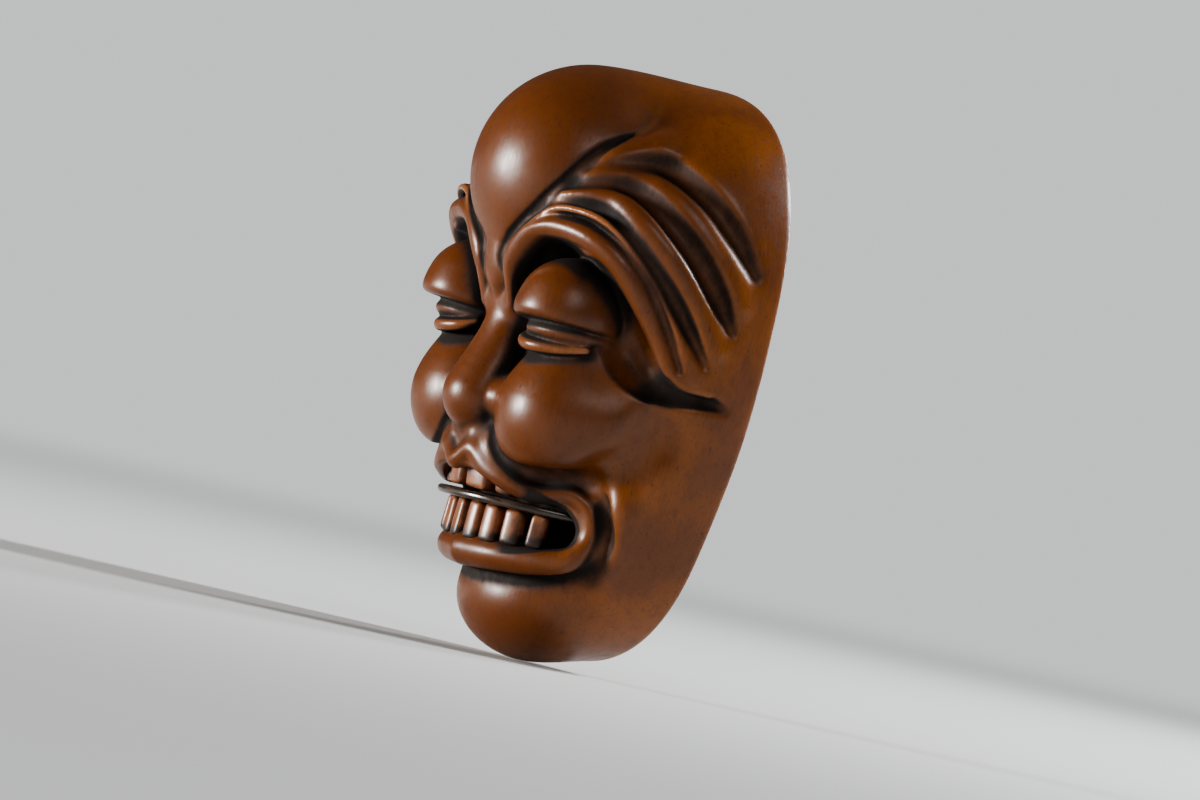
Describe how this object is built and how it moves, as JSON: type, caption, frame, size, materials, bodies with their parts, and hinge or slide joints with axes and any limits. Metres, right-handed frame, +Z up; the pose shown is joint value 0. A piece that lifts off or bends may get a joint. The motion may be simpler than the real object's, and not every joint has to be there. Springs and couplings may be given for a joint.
{
  "type": "carved mask netsuke",
  "caption": "Hand-sized carved boxwood mask with a swollen brow, closed eyes and an open mouth, hollow behind, with a bar across the back for a cord.",
  "frame": {"origin": "centre of the back, on the rear face of the cord bar, in the plane of the rim", "axes": "+Z up towards the forehead, +Y out of the open back, the face looks along -Y, +X is the mask's own left"},
  "size_m": [0.0404, 0.0224, 0.0554],
  "materials": {
    "boxwood": "stained and waxed boxwood, satin gloss",
    "tooth_wood": "paler unstained boxwood, satin",
    "dark_horn": "polished dark horn"
  },
  "bodies": {
    "root": {"mask_shell": "boxwood", "cord_bar": "boxwood", "tongue": "dark_horn", "upper_tooth_left_1": "tooth_wood", "upper_tooth_left_2": "tooth_wood", "upper_tooth_left_3": "tooth_wood", "upper_tooth_right_1": "tooth_wood", "upper_tooth_right_2": "tooth_wood", "upper_tooth_right_3": "tooth_wood", "lower_tooth_left_1": "tooth_wood", "lower_tooth_left_2": "tooth_wood", "lower_tooth_left_3": "tooth_wood", "lower_tooth_left_4": "tooth_wood", "lower_tooth_right_1": "tooth_wood", "lower_tooth_right_2": "tooth_wood", "lower_tooth_right_3": "tooth_wood", "lower_tooth_right_4": "tooth_wood"}
  },
  "joints": []
}
